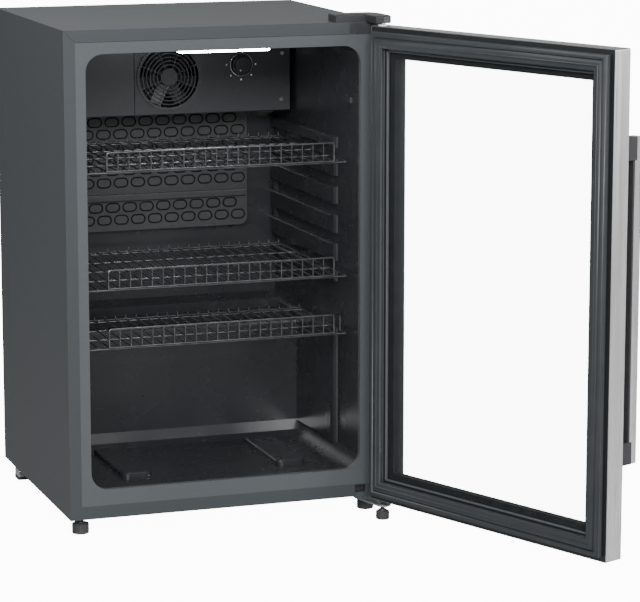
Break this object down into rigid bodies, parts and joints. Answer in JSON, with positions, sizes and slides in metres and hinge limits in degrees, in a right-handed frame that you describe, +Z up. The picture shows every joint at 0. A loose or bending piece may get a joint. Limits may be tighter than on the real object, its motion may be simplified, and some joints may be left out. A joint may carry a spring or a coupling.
{
  "type": "mini fridge",
  "caption": "Compact drinks fridge with a hinged glass door, steel door frame and bar handle, sliding wire shelves, a fan housing with a dial, and levelling feet.",
  "frame": {"origin": "on the floor, under the centre of the cabinet's footprint", "axes": "+Z up, +Y from the door side to the back, +X to the hinge side, right-hand side facing the door"},
  "size_m": [0.7989, 1.0359, 0.857],
  "materials": {
    "case_paint": "satin slate grey powder coat",
    "galvanised_steel": "zinc-coated sheet",
    "frame_plastic": "fine-grained slate plastic",
    "black_plastic": "fine-grained black plastic",
    "liner_plastic": "formed black plastic, satin",
    "foam": "rigid foam",
    "seal_rubber": "soft matt",
    "foot_plastic": "knurled black plastic",
    "knob_plastic": "satin black",
    "bright_trim": "bright plated",
    "cold_plate": "anodised, satin",
    "lens_plastic": "frosted white",
    "lamp_white": "white moulded plastic",
    "brushed_door": "lengthwise brushed",
    "door_glass": "clear toughened",
    "spacer_metal": "mill finish with a fine perforation line",
    "nylon": "natural nylon",
    "zinc_plate": "bright zinc plate",
    "shelf_wire": "plated wire",
    "black_enamel": "black enamel",
    "copper": "drawn copper"
  },
  "bodies": {
    "cabinet": {"left_side_panel": "case_paint", "right_side_panel": "case_paint", "top_panel": "case_paint", "back_panel": "galvanised_steel", "base_plate": "galvanised_steel", "rear_foot_pads": "seal_rubber", "bottom_rail": "case_paint", "hinge_corner_cap": "black_plastic", "front_frame": "frame_plastic", "insulation": "foam", "inner_liner": "liner_plastic", "evaporator_plate": "cold_plate", "duct_cover": "black_plastic", "control_panel": "black_plastic", "fan_frame": "black_plastic", "fan_guard": "black_plastic", "fan_motor": "black_plastic", "thermostat": "black_plastic", "dial_ring": "bright_trim", "lamp_housing": "lamp_white", "lamp_lens": "lens_plastic", "door_sensor": "black_plastic", "panel_screws": "bright_trim", "bay_front_panel": "galvanised_steel", "bay_top_panel": "galvanised_steel", "top_hinge": "zinc_plate", "hinge_cover": "black_plastic", "bottom_hinge": "zinc_plate", "hinge_screws": "bright_trim", "foot_nuts": "zinc_plate", "compressor": "black_enamel", "compressor_mounts": "seal_rubber", "relay_cover": "black_plastic", "condenser_tube": "black_enamel", "condenser_wires": "black_enamel", "condenser_clips": "black_plastic", "filter_drier": "copper", "pipes": "copper", "drip_tray": "black_plastic", "cord_gland": "black_plastic"},
    "door": {"door_skin": "brushed_door", "door_core": "foam", "door_inner_frame": "black_plastic", "door_gasket": "seal_rubber", "inner_glass": "door_glass", "outer_glass": "door_glass", "glass_spacer": "spacer_metal", "hinge_bushes": "nylon", "handle_bar": "brushed_door", "handle_insert": "black_plastic", "handle_posts": "black_plastic", "handle_screws": "bright_trim"},
    "fan_rotor": {"fan_rotor": "black_plastic"},
    "knob": {"knob": "knob_plastic"},
    "upper_shelf": {"upper_shelf": "shelf_wire"},
    "middle_shelf": {"middle_shelf": "shelf_wire"},
    "lower_shelf": {"lower_shelf": "shelf_wire"},
    "front_left_foot": {"front_left_foot": "foot_plastic"},
    "front_right_foot": {"front_right_foot": "foot_plastic"},
    "hinge_foot": {"hinge_foot": "foot_plastic"}
  },
  "joints": [
    {"name": "door_hinge", "type": "hinge", "parent": "cabinet", "child": "door", "pos_m": [0.2655, -0.2735, 0.45], "axis": [0, 0, 1], "range_deg": [-112.4, 22.6]},
    {"name": "fan_spin", "type": "hinge", "parent": "cabinet", "child": "fan_rotor", "pos_m": [0.0025, 0.1115, 0.725], "axis": [0, 1, 0], "continuous": true},
    {"name": "dial_turn", "type": "hinge", "parent": "cabinet", "child": "knob", "pos_m": [0.1365, 0.095, 0.7427], "axis": [0, 1, 0], "range_deg": [-122, 58]},
    {"name": "upper_shelf_slide", "type": "slide", "parent": "cabinet", "child": "upper_shelf", "axis": [0, -1, 0], "range_m": [0, 0.3]},
    {"name": "middle_shelf_slide", "type": "slide", "parent": "cabinet", "child": "middle_shelf", "axis": [0, -1, 0], "range_m": [0, 0.3]},
    {"name": "lower_shelf_slide", "type": "slide", "parent": "cabinet", "child": "lower_shelf", "axis": [0, -1, 0], "range_m": [0, 0.2]},
    {"name": "front_left_foot_screw", "type": "hinge", "parent": "cabinet", "child": "front_left_foot", "pos_m": [-0.254, -0.225, 0.01], "axis": [0, 0, 1], "continuous": true},
    {"name": "front_right_foot_screw", "type": "hinge", "parent": "cabinet", "child": "front_right_foot", "pos_m": [0.254, -0.225, 0.01], "axis": [0, 0, 1], "continuous": true},
    {"name": "hinge_foot_screw", "type": "hinge", "parent": "cabinet", "child": "hinge_foot", "pos_m": [0.257, -0.304, 0.01], "axis": [0, 0, 1], "continuous": true}
  ]
}
